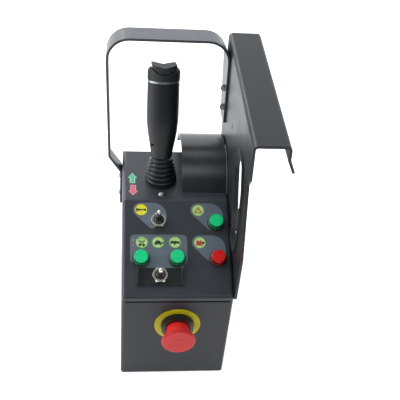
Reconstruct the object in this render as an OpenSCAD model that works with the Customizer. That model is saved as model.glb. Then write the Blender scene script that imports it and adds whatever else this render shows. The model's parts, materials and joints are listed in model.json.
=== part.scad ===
// Control box of a scissor lift: a folded steel console with a side plate that hooks
// over the guard rail, a leaning hoop round the joystick, an emergency stop, two toggle
// switches and four pilot lamps.
// X runs to the right, Y away from the operator, Z up. Origin: centre of the base.

/* [Housing] */
// Width of the housing
body_w = 130; // [124:1:150]
// Depth of the housing
body_d = 210; // [205:1:225]
// Height of the lower box
face_h = 138; // [134:1:160]
// Height of the lid's front lip
lip_h = 6; // [5:0.5:8]
// Length of the switch panel along its slope
panel_len = 123; // [121:1:130]
// Tilt of the switch panel from the horizontal
panel_tilt = 24; // [18:1:28]
// Thickness of the housing's sheet steel
wall = 2; // [1.5:0.1:2.4]
// Outer radius of the housing's rounded edges
edge_r = 4; // [3:0.25:6]

/* [Side plate and rail hook] */
// Thickness of the side plate
plate_t = 3; // [2.5:0.1:4]
// Clear width inside the rail hook
hook_gap = 35; // [33:0.5:45]
// Height of the hook's top face over the console top
hook_rise = 149; // [141:1:166]
// Height of the straight part of the hook's outer flange
hook_drop = 17; // [12:1:24]
// Height of the flared end of the outer flange
flare_h = 13.5; // [10:0.5:20]
// Outward reach of the flared end
flare_out = 6; // [4:0.5:10]
// Inside radius of the hook's bends
hook_r = 2.5; // [2:0.25:4]
// Front end of the hook, behind the lower face
hook_front = 25; // [22:1:30]
// Reach of the hook behind the back of the housing
hook_over = 49; // [42:1:54]
// Radius of the hand slot's corners
slot_r = 14; // [10:1:15]

/* [Curved guard] */
// Outer radius of the curved guard
guard_r = 62; // [58:0.5:66]
// Height of the guard's crown over the console top
guard_rise = 35; // [32:0.5:38]
// Distance of the guard's left edge from the side plate
guard_w = 57; // [50:0.5:60]
// Distance from the guard's axis to the back of the housing
guard_back = 28.3; // [26:0.5:30]
// Depth of the guard's side flange
guard_flange = 14; // [12:0.5:18]
// Thickness of the guard's sheet
guard_t = 2; // [1.5:0.1:2.5]

/* [Hoop] */
// Height of the hoop over the console top, along its lean
hoop_h = 158; // [152:1:170]
// Backward lean of the hoop
hoop_lean = 11; // [8:0.5:13]
// Thickness of the hoop's strip
hoop_t = 3; // [2.5:0.1:4]
// Width of the strip across the top bar
hoop_w = 45; // [40:1:48]
// Width of the strip at its ends
hoop_end_w = 23; // [22:0.5:26]
// Outside radius of the hoop's corners
hoop_r = 28; // [24:1:32]
// Sideways stand-off of the left leg at the top
hoop_out = 19.6; // [16:0.2:24]
// Length of the left leg's foot below the console top
hoop_foot = 70; // [66:1:76]
// Distance of the hoop's front edge from the back of the housing
hoop_back = 16; // [15:0.5:20]

/* [Emergency stop] */
// Distance of the stop button from the housing's left side
stop_x = 66.6; // [58:0.5:70]
// Distance of the stop button's centre below the edge of the lower face
stop_drop = 43.5; // [40:0.5:55]
// Radius of the yellow ring
stop_ring_r = 27.5; // [26:0.5:30]
// Radius of the black collar
stop_collar_r = 20; // [18:0.5:22]
// Radius of the mushroom head
stop_head_r = 20; // [18:0.5:22]
// Reach of the mushroom head in front of the lower face
stop_reach = 27.5; // [26:0.5:36]
// Travel of the mushroom head
stop_travel = 4; // [3:0.5:5]

/* [Lamps and switches] */
// Radius of a lamp's lens at its base
lamp_r = 9.4; // [8.5:0.1:10]
// Height of a lamp over the panel
lamp_h = 10.2; // [8:0.2:12]
// Width of a toggle's hexagon nut across its flats
nut_af = 17; // [15:0.5:18]
// Height of a toggle's lever over its seat
lever_h = 25; // [22:0.5:28]
// Angle of a toggle lever's throw to each side
lever_throw = 12; // [8:1:13]
// Height of the selector guard's ears
ear_h = 6; // [5:0.5:14]

/* [Joystick] */
// Distance of the joystick from the curved guard's left edge
stick_gap = 25.2; // [24:0.1:29]
// Distance of the joystick behind the panel's fold
stick_back = 39; // [37:0.5:42]
// Backward lean of the joystick at rest
stick_lean = 22; // [16:1:24]
// Largest radius of the grip
grip_r = 19.5; // [18:0.25:20.5]
// Radius of the grip at its lower end
grip_neck_r = 12.5; // [11:0.25:13]
// Height of the grip's lower end along the stick
grip_start = 29.3; // [28:0.1:32]
// Length of the grip
grip_len = 94.5; // [90:0.5:100]
// Height of the bright ring
ring_h = 2.4; // [1.5:0.1:3]
// Height of the head over the bright ring
head_h = 19.5; // [19:0.5:24]
// Largest radius of the bellows
boot_r = 20; // [19:0.25:21]
// Number of ribs of the bellows
boot_ribs = 6; // [5:1:8]

/* [Hidden] */
$fn = 48;

// Overrun of every cut
over = 1;
// Clearance of a fastener or pin in its hole
fit = 0.05;
// Clearance between seated neighbours
seat = 0.2;
// Gap beside a moving piece
run_gap = 0.3;

lip_z = face_h + lip_h;
fold_y = panel_len * cos(panel_tilt) - wall;
top_z = lip_z + panel_len * sin(panel_tilt);
in_w = body_w - 2 * wall;
hook_z = top_z + hook_rise;
hook_rear = body_d + hook_over;
stop_z = face_h - stop_drop;
stick_x = body_w - guard_w - stick_gap;

function unit(v) = v / norm(v);
function turn(a, b) = a.x * b.y - a.y * b.x;
function left_of(v) = [-v.y, v.x];
function deg_between(a0, a1) = (a1 - a0 + 540) % 360 - 180;
// Points of the arc of radius r that replaces the corner b between a and c
function corner(a, b, c, r, n) =
  let(u = unit(a - b), v = unit(c - b), half = acos(u * v) / 2)
  r <= 0 ? [b] :
  let(m = b + unit(u + v) * r / sin(half),
      p = b + u * r / tan(half) - m, q = b + v * r / tan(half) - m,
      a0 = atan2(p.y, p.x), da = deg_between(a0, atan2(q.y, q.x)))
  [for (i = [0:n]) m + r * [cos(a0 + da * i / n), sin(a0 + da * i / n)]];
// An open path with its inner corners rounded
function rounded(path, radii, n = 5) =
  let(last = len(path) - 1)
  [for (i = [0:last]) each (i == 0 || i == last) ? [path[i]] :
    corner(path[i - 1], path[i], path[i + 1], radii[i], n)];
// A closed outline with its corners rounded
function loop(path, radii, n = 5) =
  let(k = len(path))
  [for (i = [0:k - 1]) each corner(path[(i + k - 1) % k], path[i], path[(i + 1) % k], radii[i], n)];
// The path beside an open path, at the distance t to its left
function beside(path, t) =
  let(last = len(path) - 1)
  [for (i = [0:last])
    let(n0 = left_of(unit(path[max(i, 1)] - path[max(i, 1) - 1])),
        n1 = left_of(unit(path[min(i, last - 1) + 1] - path[min(i, last - 1)])))
    path[i] + t * (n0 + n1) / (1 + n0 * n1)];
function reversed(p) = [for (i = [len(p) - 1:-1:0]) p[i]];
function bend_radii(path, t, r, own) =
  let(last = len(path) - 1)
  [for (i = [0:last]) (i == 0 || i == last) ? 0 :
    ((turn(path[i] - path[i - 1], path[i + 1] - path[i]) * t > 0) == own) ? r + abs(t) : r];
// Outline of a sheet of thickness t, to the left of the path, bent with inside radius r
function bent_sheet(path, t, r, n = 5) =
  concat(rounded(path, bend_radii(path, t, r, true), n),
    reversed(rounded(beside(path, t), bend_radii(path, t, r, false), n)));
function same(v, n) = [for (i = [1:n]) v];

module place() { translate([-body_w / 2, -body_d / 2, 0]) children(); }
// Extrudes a (Y, Z) outline along X
module along_x(x0, x1) { translate([x0, 0, 0]) rotate([90, 0, 90]) linear_extrude(x1 - x0) children(); }
// Extrudes an (X, Z) outline along Y
module along_y(y0, y1) { translate([0, y1, 0]) rotate([90, 0, 0]) linear_extrude(y1 - y0) children(); }
// Frame on the switch panel: x from the left side, s up the slope, local Z outward
module on_panel(x, s) {
  translate([x, -wall, lip_z]) rotate([panel_tilt, 0, 0]) translate([0, s, 0]) children();
}
// Frame of the joystick at rest, local Z along the stick
module on_stick() { translate([stick_x, fold_y + stick_back, top_z]) rotate([-stick_lean, 0, 0]) children(); }
module on_stick_base() { translate([stick_x, fold_y + stick_back, top_z]) children(); }
// Frame of the hoop: local Z along its lean, local Y across the strip
module on_hoop() { translate([0, body_d - hoop_back, top_z]) rotate([-hoop_lean, 0, 0]) children(); }
// Frame of the stop button: local Z towards the operator
module on_stop() { translate([stop_x, 0, stop_z]) rotate([90, 0, 0]) children(); }
// Frames of screws that point out of the sides and the back
module facing_right(x, y, z) { translate([x, y, z]) rotate([0, 90, 0]) children(); }
module facing_back(x, y, z) { translate([x, y, z]) rotate([-90, 0, 0]) children(); }
module tube(r, bore, h) {
  difference() {
    cylinder(r = r, h = h);
    translate([0, 0, -over]) cylinder(r = bore, h = h + 2 * over);
  }
}
// A block between two heights with its plan given by a rectangle
module block(x0, x1, y0, y1, z0, z1) { translate([x0, y0, z0]) cube([x1 - x0, y1 - y0, z1 - z0]); }
// A screw with a domed head, its head seated at local Z = 0 and its shank pointing down
module domed_screw(r, head_r, head_h, depth) {
  cap_r = (head_r * head_r + head_h * head_h) / (2 * head_h);
  intersection() {
    translate([0, 0, head_h - cap_r]) sphere(r = cap_r);
    cylinder(r = head_r + over, h = head_h + over);
  }
  translate([0, 0, -depth]) cylinder(r = r, h = depth + head_h / 2);
}
// A hexagon nut with a bore, from local Z = 0 upward
module hex_nut(af, bore, h) {
  difference() {
    intersection() {
      cylinder(r = af / sqrt(3), h = h, $fn = 6);
      translate([0, 0, h - af]) cylinder(r1 = af, r2 = af * nut_chamfer_share, h = af);
    }
    translate([0, 0, -over]) cylinder(r = bore, h = h + 2 * over);
  }
}
nut_chamfer_share = 0.51;

// Housing

lid_path = [[-wall, face_h], [-wall, lip_z], [fold_y, top_z], [body_d, top_z], [body_d, face_h]];
fold_r = 5;
lip_r = 5;
tuck = lip_h / 2;
rim_h = 12;
rim_inset = 20;
tab_w = 12;
body_screw_r = 2;
body_head_r = 3.6;
body_head_h = 2.2;
rear_inset = 8;
rear_low = 14;

module plan(front, h0, h1) {
  translate([0, 0, h0]) linear_extrude(h1 - h0)
    polygon(rounded([[0, body_d], [0, front], [body_w, front], [body_w, body_d]], same(edge_r, 4)));
}
module lower_box() color([0.23, 0.24, 0.27]) place() difference() {
  union() {
    linear_extrude(face_h)
      polygon(bent_sheet([[0, body_d], [0, 0], [body_w, 0], [body_w, body_d]], wall, edge_r - wall));
    block(wall / 2, body_w - wall / 2, wall / 2, body_d, 0, wall);
    block(edge_r, body_w - edge_r, 0, wall, face_h - rim_h, face_h + tuck);
    for (s = [-1, 1]) translate([body_w / 2 + s * (body_w / 2 - wall), 0, 0]) {
      block(-wall / 2 - s * wall / 2, wall / 2 - s * wall / 2, rim_inset + 2 * wall, body_d - rim_inset,
        face_h - rim_h, face_h + rim_h);
      block(-wall / 2, wall / 2, rim_inset + 2 * wall, body_d - rim_inset, face_h - rim_h, face_h - rim_h / 2);
      block(-tab_w / 2 - s * (tab_w - wall) / 2, tab_w / 2 - s * (tab_w - wall) / 2,
        body_d - 2 * wall, body_d - wall, wall / 2, face_h - rim_inset);
    }
  }
  translate([stop_x, 0, stop_z]) rotate([90, 0, 0]) translate([0, 0, -2 * wall])
    cylinder(r = stop_barrel_r + fit, h = 3 * wall);
  for (x = [rear_inset, body_w - rear_inset], z = rear_screw_z)
    facing_back(x, body_d - 2 * wall - over, z) cylinder(r = body_screw_r + fit, h = wall + 2 * over);
  for (y = plate_bolt_y)
    facing_right(in_w - over, y, plate_bolt_z) cylinder(r = plate_bolt_r + fit, h = wall + 2 * over);
  hoop_foot_holes();
  facing_back(gland_x, body_d - 2 * wall - over, gland_z) cylinder(r = gland_r + over, h = wall + 2 * over);
}
rear_screw_z = [rear_low, face_h - rim_inset - rear_inset];

module rear_cover() color([0.2, 0.21, 0.23]) place() difference() {
  block(wall, body_w - wall, body_d - wall, body_d, wall, face_h);
  for (x = [rear_inset, body_w - rear_inset], z = rear_screw_z)
    facing_back(x, body_d - wall - over, z) cylinder(r = body_screw_r + fit, h = wall + 2 * over);
  facing_back(gland_x, body_d - wall - over, gland_z) cylinder(r = gland_r + fit, h = wall + 2 * over);
}
module rear_screws() color("silver") place()
  for (x = [rear_inset, body_w - rear_inset], z = rear_screw_z)
    facing_back(x, body_d, z) domed_screw(body_screw_r, body_head_r, body_head_h, 2 * wall);

// The slanted panel's prism and the level top's prism, each with rounded sides, cut each other
module lid_outside() intersection() {
  along_x(0, body_w) polygon(rounded(lid_path, [0, lip_r, fold_r, edge_r, 0]));
  plan(-wall, face_h, top_z + over);
  on_panel(0, 0) along_y(-lip_h, panel_len + body_d) rounded_top(2 * top_z);
  translate([0, 0, top_z]) along_y(-wall - over, body_d + over) rounded_top(top_z);
}
module rounded_top(deep) {
  polygon(rounded([[0, -deep], [0, 0], [body_w, 0], [body_w, -deep]], same(edge_r, 4)));
}
lid_inner = beside(lid_path, -wall);
module console_lid() color([0.25, 0.26, 0.29]) place() difference() {
  lid_outside();
  along_x(wall, body_w - wall) polygon(concat([lid_inner[0] - [0, over]], [for (i = [1:3]) lid_inner[i]],
    [lid_inner[4] - [0, over]]));
  for (p = lamp_spots) on_panel(p.x, p.y) drill(lamp_barrel_r + fit);
  on_panel(horn_x, horn_s) drill(bush_r + fit);
  on_panel(selector_x, selector_s) drill(bush_r + fit);
  on_stick_base() drill(base_tube_r + fit);
  for (y = [-stick_screw_y, stick_screw_y]) on_stick_base() translate([0, y, 0]) drill(stick_screw_r + fit);
  for (y = plate_bolt_y)
    facing_right(in_w, y, plate_bolt_z) cylinder(r = plate_bolt_r + fit, h = 2 * wall + over);
  hoop_foot_holes();
}
// Rubber strip on the lower face, under the lid's front edge
seal_out = 1.2;
seal_drop = 3;
module lid_seal() color([0.07, 0.07, 0.08]) place()
  block(edge_r, body_w - edge_r, -seal_out, 0, face_h - seal_drop, face_h);
module drill(r) { translate([0, 0, -2 * wall]) cylinder(r = r, h = 3 * wall); }

// Side plate with the rail hook

hook_x = body_w + hook_gap + 2 * plate_t;
knee_rise = 9;
plate_knee_z = top_z + knee_rise;
neck_y = 27;
neck_drop = 53;
neck_z = hook_z - neck_drop;
shoulder_y = 18.6;
shoulder_drop = 41;
shoulder_z = hook_z - shoulder_drop;
plate_bolt_r = 2.5;
plate_bolt_end = 34;
plate_bolt_y = [plate_bolt_end, body_d / 2, body_d - plate_bolt_end];
plate_bolt_z = face_h + rim_h / 2;
plate_head_r = 4.8;
plate_head_h = 2.8;
plate_corner_r = 5;
slot_front = 31.5;
slot_d = 68;
slot_low = 16;
slot_h = 117;
slot_shares = [[0.02, 0], [0, 0.351], [0.113, 0.754], [0.377, 1], [0.748, 1], [1, 0.754], [0.788, 0.509],
  [0.563, 0.316], [0.47, 0]];
function slot_point(p) = [slot_front + p.x * slot_d, top_z - slot_low + p.y * slot_h];
slot_centre_shares = [0.444, 0.509];
slot_centre = slot_point(slot_centre_shares);

module plate_outline() {
  polygon(loop([[-wall, face_h], [-wall, plate_knee_z], [neck_y, neck_z], [shoulder_y, shoulder_z],
    [hook_front, hook_z + over], [hook_rear, hook_z + over],
    [hook_rear - shoulder_drop * plate_back_share, shoulder_z],
    [body_d, face_h + body_rise], [body_d, face_h]],
    [plate_corner_r, edge_r, edge_r, edge_r, 0, 0, edge_r, edge_r, edge_r]));
}
plate_back_share = 0.22;
body_rise = 12;
hook_path = [[body_w, face_h], [body_w, hook_z], [hook_x, hook_z], [hook_x, hook_z - hook_drop],
  [hook_x + flare_out, hook_z - hook_drop - flare_h]];
module slot_outline(grow) {
  polygon(loop([for (s = slot_shares) let(p = slot_point(s)) p + grow * unit(p - slot_centre)],
    same(slot_r, len(slot_shares))));
}
module side_plate() color([0.24, 0.24, 0.27]) place() difference() {
  intersection() {
    along_y(-2 * wall, hook_rear + over) polygon(bent_sheet(hook_path, -plate_t, hook_r));
    along_x(body_w, hook_x + flare_out + plate_t) plate_outline();
  }
  along_x(body_w - over, body_w + plate_t + over) slot_outline(0);
  for (y = plate_bolt_y)
    facing_right(body_w - over, y, plate_bolt_z) cylinder(r = plate_bolt_r + fit, h = plate_t + 2 * over);
  for (p = hoop_bolt_spots) hoop_bolt_hole(p);
  guard_rivet_holes();
}
module side_plate_bolts() color("silver") place() for (y = plate_bolt_y)
  facing_right(body_w + plate_t, y, plate_bolt_z)
    domed_screw(plate_bolt_r, plate_head_r, plate_head_h, plate_t + 2 * wall);

// Rubber trim on the slot's edge, thicker on the plate's inner side
trim_w = 2;
trim_in = 2.4;
trim_out = 1;
module slot_trim() color([0.08, 0.08, 0.09]) place() difference() {
  union() {
    along_x(body_w - trim_in / 2, body_w + plate_t + trim_out / 2) slot_outline(-run_gap / 2);
    along_x(body_w - trim_in, body_w) slot_outline(trim_w);
    along_x(body_w + plate_t, body_w + plate_t + trim_out) slot_outline(trim_w);
  }
  along_x(body_w - trim_in - over, body_w + plate_t + trim_out + over) slot_outline(-trim_w);
}

// Curved guard over the cable entry

guard_y = body_d - guard_back;
guard_z = top_z + guard_rise - guard_r;
guard_end_drop = 3;
guard_corner_r = 3.5;
rivet_r = 2;
rivet_head_r = 3.6;
rivet_head_h = 1.2;
rivet_angles = [50, 90, 130];
module on_guard() { translate([0, guard_y, guard_z]) rotate([90, 0, 90]) children(); }
module curved_guard() color([0.16, 0.17, 0.19]) place() difference() {
  intersection() {
    on_guard() rotate_extrude($fn = 96) polygon(bent_sheet(
      [[guard_r, body_w - guard_w], [guard_r, body_w], [guard_r - guard_flange, body_w]], guard_t, guard_t / 2));
    union() {
      along_y(0, body_d + guard_r) polygon(rounded([[body_w - guard_w, top_z + 2 * guard_r],
        [body_w - guard_w, top_z], [body_w, top_z], [body_w, top_z + 2 * guard_r]], [0, guard_corner_r, 0, 0]));
      block(0, body_w, body_d, body_d + guard_r, top_z - guard_end_drop, top_z + 2 * guard_r);
    }
  }
  guard_rivet_holes();
}
module guard_rivet_holes() {
  for (a = rivet_angles) on_rivet(a) translate([0, 0, -guard_t - over])
    cylinder(r = rivet_r + fit, h = plate_t + guard_t + 2 * over);
}
module on_rivet(a) {
  translate([0, guard_y, guard_z]) rotate([a, 0, 0]) translate([body_w, guard_r - guard_flange / 2, 0])
    rotate([0, 90, 0]) children();
}
module guard_rivets() color([0.3, 0.3, 0.33]) place() for (a = rivet_angles) on_rivet(a) {
  translate([0, 0, -guard_t - rivet_head_h / 2]) cylinder(r = rivet_r, h = guard_t + plate_t + rivet_head_h);
  translate([0, 0, plate_t]) cylinder(r1 = rivet_head_r, r2 = rivet_r, h = rivet_head_h);
  translate([0, 0, -guard_t - rivet_head_h]) cylinder(r1 = rivet_r, r2 = rivet_head_r, h = rivet_head_h);
}

// Hoop

joggle_h = 22;
joggle_out = 15.5;
hoop_right_u = 52;
hoop_bolt_y = 9;
hoop_bolt_aside = 4;
hoop_bolt_u = 70;
hoop_bolt_step = 24;
hoop_bolt_spots = [[hoop_bolt_y, hoop_bolt_u], [hoop_bolt_y + hoop_bolt_aside, hoop_bolt_u + hoop_bolt_step]];
hoop_bolt_r = 2.5;
foot_bolt_end = 12;
foot_bolt_step = 26;
hoop_foot_u = [foot_bolt_end - hoop_foot, foot_bolt_end - hoop_foot + foot_bolt_step];
foot_bolt_r = 2.5;
foot_head_r = 4.2;
foot_head_h = 2.4;
hoop_path = [[-hoop_t, -hoop_foot], [-hoop_t, -joggle_h], [-hoop_t - joggle_out, 0],
  [-hoop_t - hoop_out, hoop_h], [body_w, hoop_h], [body_w, hoop_right_u]];
hoop_radii_in = hoop_r - hoop_t;
function hoop_radii(outer) = [0, outer ? joggle_bend : joggle_bend + hoop_t, outer ? joggle_bend + hoop_t :
  joggle_bend, outer ? hoop_r : hoop_radii_in, outer ? hoop_r : hoop_radii_in, 0];
joggle_bend = 3;
module hoop() color([0.17, 0.18, 0.2]) place() difference() {
  on_hoop() intersection() {
    along_y(-over, hoop_w + over) polygon(concat(rounded(hoop_path, hoop_radii(true), 8),
      reversed(rounded(beside(hoop_path, -hoop_t), hoop_radii(false), 8))));
    along_x(-hoop_t - hoop_out - over, body_w + over) polygon(loop(
      [[0, -hoop_foot], [0, hoop_h + over], [hoop_w, hoop_h + over], [hoop_w, hoop_h - hoop_r],
       [hoop_end_w, 0], [hoop_end_w, -hoop_foot]], [edge_r, 0, 0, hoop_r, hoop_r, edge_r]));
  }
  for (p = hoop_bolt_spots) hoop_bolt_hole(p);
  hoop_foot_holes();
}
module on_hoop_bolt(p) { on_hoop() translate([body_w, p.x, p.y]) rotate([0, 90, 0]) children(); }
module hoop_bolt_hole(p) {
  on_hoop_bolt(p) translate([0, 0, -hoop_t - over]) cylinder(r = hoop_bolt_r + fit, h = hoop_t + plate_t + 2 * over);
}
module hoop_bolts() color("silver") place() for (p = hoop_bolt_spots) on_hoop_bolt(p) translate([0, 0, plate_t])
  domed_screw(hoop_bolt_r, 2 * hoop_bolt_r, hoop_bolt_r, plate_t + hoop_t + 2 * hoop_bolt_r);
module hoop_nuts() color("silver") place() for (p = hoop_bolt_spots) on_hoop_bolt(p)
  translate([0, 0, -hoop_t]) mirror([0, 0, 1]) hex_nut(hoop_nut_af, hoop_bolt_r + fit, hoop_nut_h);
hoop_nut_af = 8;
hoop_nut_h = 3.6;
module on_foot_bolt(u) { on_hoop() translate([-hoop_t, hoop_end_w / 2, u]) rotate([0, -90, 0]) children(); }
module hoop_foot_holes() {
  for (u = hoop_foot_u) on_foot_bolt(u) translate([0, 0, -hoop_t - 2 * wall - over])
    cylinder(r = foot_bolt_r + fit, h = hoop_t + 2 * wall + 2 * over);
}
module hoop_foot_bolts() color("silver") place() for (u = hoop_foot_u) on_foot_bolt(u)
  domed_screw(foot_bolt_r, foot_head_r, foot_head_h, hoop_t + 2 * wall);

// Joystick

pivot_drop = 12;
pin_r = 3;
hub_r = 8;
hub_half = 5;
shaft_r = 4;
base_tube_r = 16;
base_bore = 14;
base_flange_r = 19;
base_flange_h = 2.5;
base_plate_t = 3;
base_plate_w = 44;
base_plate_d = 74;
ear_x = 9;
ear_t = 4;
ear_half = 16;
ear_low = 26;
stick_screw_y = 28;
stick_screw_r = 2;
stick_head_r = 4.5;
stick_head_h = 3.2;
pin_y = -pivot_drop * sin(stick_lean);
pin_z = -pivot_drop * cos(stick_lean);
module joystick_base() color([0.09, 0.09, 0.1]) place() on_stick_base() difference() {
  union() {
    cylinder(r = base_flange_r, h = base_flange_h);
    translate([0, 0, -wall - base_plate_t]) cylinder(r = base_tube_r, h = wall + base_plate_t + base_flange_h);
    block(-base_plate_w / 2, base_plate_w / 2, -base_plate_d / 2, base_plate_d / 2, -wall - base_plate_t, -wall);
    for (s = [-1, 1])
      translate([s * (ear_x + ear_t / 2), 0, 0])
        block(-ear_t / 2, ear_t / 2, -ear_half, ear_half, -ear_low, -wall - base_plate_t / 2);
  }
  translate([0, 0, -wall - base_plate_t - over])
    cylinder(r = base_bore, h = wall + base_plate_t + base_flange_h + 2 * over);
  for (y = [-stick_screw_y, stick_screw_y]) translate([0, y, -wall - base_plate_t - over])
    cylinder(r = stick_screw_r + fit, h = base_plate_t + 2 * over);
  translate([-ear_x - 2 * ear_t, pin_y, pin_z]) rotate([0, 90, 0])
    cylinder(r = pin_r + fit, h = 2 * ear_x + 4 * ear_t);
}
module joystick_screws() color("silver") place() on_stick_base()
  for (y = [-stick_screw_y, stick_screw_y]) translate([0, y, 0])
    domed_screw(stick_screw_r, stick_head_r, stick_head_h, wall + base_plate_t + over);
module joystick_pin() color("silver") place() on_stick_base()
  translate([-ear_x - ear_t, pin_y, pin_z]) rotate([0, 90, 0]) cylinder(r = pin_r, h = 2 * (ear_x + ear_t) + ear_t);
module centering_springs() color("dimgray") place() on_stick_base() for (s = [-1, 1])
  translate([s * (hub_half + ear_x) / 2, pin_y, pin_z]) rotate([0, 90, 0])
    translate([0, 0, -spring_len / 2]) tube(spring_r, pin_r + fit, spring_len);
spring_r = 5.5;
spring_len = ear_x - hub_half - 2 * run_gap;
module joystick_sensor() color([0.12, 0.25, 0.2]) place() on_stick_base()
  translate([ear_x + ear_t, pin_y, pin_z]) rotate([0, 90, 0]) difference() {
    union() {
      cylinder(r = sensor_r, h = sensor_h);
      translate([-sensor_r, -sensor_r, 0]) cube([2 * sensor_r, sensor_r, sensor_h / 2]);
    }
    translate([0, 0, -over]) cylinder(r = pin_r + fit, h = ear_t + over + fit);
  }
sensor_r = 5.5;
sensor_h = 9;
shaft_share = 0.94;
shaft_top = grip_start + grip_len * shaft_share;
module joystick_shaft() color("silver") place() on_stick() difference() {
  union() {
    translate([-hub_half, 0, -pivot_drop]) rotate([0, 90, 0]) cylinder(r = hub_r, h = 2 * hub_half);
    translate([0, 0, -pivot_drop]) cylinder(r = shaft_r, h = pivot_drop + shaft_top);
  }
  translate([-hub_half - over, 0, -pivot_drop]) rotate([0, 90, 0])
    cylinder(r = pin_r + fit, h = 2 * (hub_half + over));
}

// Bellows: rings that tilt step by step from the flange to the stick
boot_rings_per_rib = 6;
boot_sides = 36;
boot_wall = 1.4;
boot_rib = 1.3;
boot_top = grip_start - run_gap;
boot_low = base_flange_h / cos(stick_lean);
boot_lap = 1.1;
boot_top_r = grip_neck_r + boot_lap;
boot_count = boot_ribs * boot_rings_per_rib;
boot_curve = 1.15;
boot_fade_share = 0.45;
boot_end_share = 0.4;
full_turn = 360;
function boot_mean(t) = boot_r - boot_rib - (boot_r - boot_rib - boot_top_r) * pow(t, boot_curve);
function boot_wave(t) = boot_rib * (1 - boot_fade_share * t) * -cos(full_turn * boot_ribs * t);
function boot_outer(t) = boot_mean(t) + boot_wave(t) * (t > 0 && t < 1 ? 1 : boot_end_share);
function boot_ring(t, r) =
  let(s = boot_low + (boot_top - boot_low) * t, a = stick_lean * min(1, t * boot_curve))
  [for (i = [0:boot_sides - 1]) let(w = full_turn * i / boot_sides)
    [r * cos(w), s * sin(stick_lean) + r * sin(w) * cos(a), s * cos(stick_lean) - r * sin(w) * sin(a)]];
boot_skin = [for (i = [0:boot_count]) boot_ring(i / boot_count, boot_outer(i / boot_count))];
boot_bore = [for (i = [boot_ribs:-1:0]) let(t = i / boot_ribs) boot_ring(t, boot_mean(t) - boot_rib - boot_wall)];
module joystick_boot() color([0.06, 0.06, 0.07]) place() on_stick_base() {
  rings = concat(boot_skin, boot_bore);
  k = len(rings);
  polyhedron(points = [for (r = rings) each r], faces = [for (i = [0:k - 1], j = [0:boot_sides - 1])
    let(a = i * boot_sides, b = ((i + 1) % k) * boot_sides, j2 = (j + 1) % boot_sides)
    each [[a + j, b + j, b + j2], [a + j, b + j2, a + j2]]]);
}

// Grip: a turned form that swells from the neck
grip_wall = 3;
grip_steps = 10;
swell_share = 0.58;
straight_share = 0.8;
grip_top_share = 0.99;
swell_curve = 1.3;
cavity_low = 22;
function grip_at(t) = grip_neck_r + (grip_r - grip_neck_r) * pow(sin(90 * min(1, t / swell_share)), swell_curve);
grip_skin = concat([[shaft_r + fit, 0], [grip_neck_r - edge_r / 4, 0]],
  [for (i = [0:grip_steps]) let(t = i / grip_steps * swell_share)
    [grip_at(t), max(t * grip_len, edge_r / 4)]],
  [[grip_r, grip_len * straight_share], [grip_r * grip_top_share, grip_len], [shaft_r + fit, grip_len]]);
grip_hollow = concat([[shaft_r + fit, cavity_low], [grip_at(cavity_low / grip_len) - grip_wall, cavity_low]],
  [for (i = [0:grip_steps]) let(t = i / grip_steps * swell_share)
    if (t * grip_len > cavity_low) [grip_at(t) - grip_wall, t * grip_len]],
  [[grip_r - grip_wall, grip_len - grip_wall], [shaft_r + fit, grip_len - grip_wall]]);
trigger_down = 8.5;
trigger_len = 30;
trigger_top = grip_len - trigger_down;
trigger_low = trigger_top - trigger_len;
trigger_half = 5;
trigger_slot_low = trigger_low - trigger_half / 2;
trigger_pin_r = 1.5;
trigger_pin_y = 12.5;
trigger_pin_down = 4;
trigger_pin_s = trigger_top - trigger_pin_down;
trigger_reach = 7;
trigger_lip = 4;
trigger_tip = 2;
module on_grip() { on_stick() translate([0, 0, grip_start]) children(); }
module joystick_grip() color([0.1, 0.1, 0.11]) place() on_grip() difference() {
  rotate_extrude($fn = 72) polygon(grip_skin);
  difference() {
    rotate_extrude($fn = 72) polygon(grip_hollow);
    block(-trigger_half - run_gap - grip_wall, -trigger_half - run_gap, trigger_pin_y - grip_wall, grip_r,
      trigger_slot_low, trigger_top);
    block(trigger_half + run_gap, trigger_half + run_gap + grip_wall, trigger_pin_y - grip_wall, grip_r,
      trigger_slot_low, trigger_top);
  }
  block(-trigger_half - run_gap, trigger_half + run_gap, shaft_r + run_gap, grip_r + over,
    trigger_slot_low, trigger_top);
  translate([-2 * trigger_half, trigger_pin_y, trigger_pin_s]) rotate([0, 90, 0])
    cylinder(r = trigger_pin_r + fit, h = 4 * trigger_half);
  on_grip_screw() translate([0, 0, -grip_r]) cylinder(r = grip_screw_r + fit, h = grip_r + over);
  on_grip_screw() translate([0, 0, -grip_screw_sink]) cylinder(r = grip_screw_head, h = grip_r);
}
grip_screw_r = 1.6;
grip_screw_head = 2.6;
grip_screw_sink = 2.5;
grip_screw_s = 17;
grip_screw_turn = -60;
module on_grip_screw() {
  rotate([0, 0, grip_screw_turn]) translate([0, -grip_at(grip_screw_s / grip_len), grip_screw_s]) rotate([90, 0, 0]) children();
}
module grip_screw() color("dimgray") place() on_grip() on_grip_screw()
  translate([0, 0, -grip_screw_sink]) {
    cylinder(r = grip_screw_head - fit, h = grip_screw_r);
    translate([0, 0, -grip_r / 3]) cylinder(r = grip_screw_r, h = grip_r / 3 + grip_screw_r / 2);
  }
module grip_ring() color("white") place() on_grip() translate([0, 0, grip_len]) tube(grip_r, grip_r / 2, ring_h);

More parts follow.
